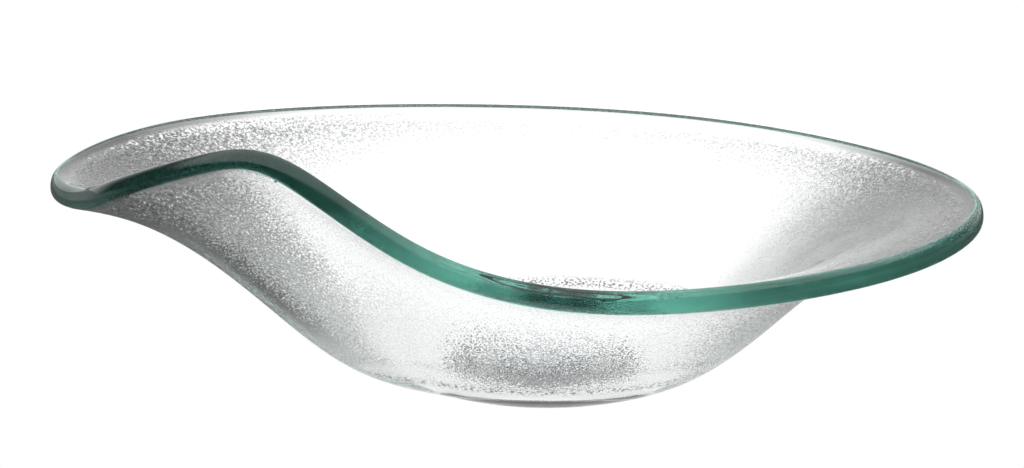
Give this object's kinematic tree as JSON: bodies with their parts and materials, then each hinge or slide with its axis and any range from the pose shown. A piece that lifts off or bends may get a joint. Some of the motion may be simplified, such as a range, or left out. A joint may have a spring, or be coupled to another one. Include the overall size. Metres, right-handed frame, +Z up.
{
  "type": "glass vessel basin",
  "caption": "Slumped clear-glass vessel basin with a low spout and a raised front fold, on a silicone seat ring, with a clamped push-button waste whose stopper lifts.",
  "frame": {"origin": "on the waste's axis, in the plane of the counter's top face, which is the underside of the seat ring", "axes": "+Z up along the waste's axis; +X along the basin's length, from the spout to the flared end; the raised fold is on the front, at -Y"},
  "size_m": [0.5402, 0.3761, 0.2318],
  "materials": {
    "clear_glass": "clear float glass, smooth inside, pebbled underside, pencil-polished green edge",
    "clear_silicone": "translucent cured silicone",
    "soft_seal": "soft pale sealing ring",
    "plated_brass": "polished chrome plating on brass",
    "black_rubber": "dull black rubber",
    "white_plastic": "smooth white polythene",
    "turned_brass": "turned and milled brass",
    "ivory_acetal": "moulded acetal",
    "spring_steel": "drawn stainless wire"
  },
  "bodies": {
    "basin": {"glass_basin": "clear_glass", "seat_gasket": "clear_silicone", "flange_seal": "soft_seal", "waste_body": "plated_brass", "under_washer": "soft_seal", "slip_washer": "white_plastic", "clamp_nut": "turned_brass", "latch_housing": "ivory_acetal", "latch_collar": "ivory_acetal", "latch_locknut": "turned_brass", "latch_spring": "spring_steel"},
    "stopper": {"stopper_cap": "plated_brass", "stopper_seal": "black_rubber", "latch_plunger": "ivory_acetal"},
    "rotor": {"latch_rotor": "ivory_acetal"}
  },
  "joints": [
    {"name": "stopper_lift", "type": "slide", "parent": "basin", "child": "stopper", "axis": [0, 0, 1], "range_m": [0, 0.009], "deforming": ["latch_spring"]},
    {"name": "rotor_turn", "type": "hinge", "parent": "stopper", "child": "rotor", "pos_m": [0, 0, -0.01], "axis": [0, 0, 1], "range_deg": [0, 22.5]}
  ],
  "couplings": [
    {"joint": "rotor_turn", "follows": "stopper_lift", "rad_per_m": 43.63}
  ]
}
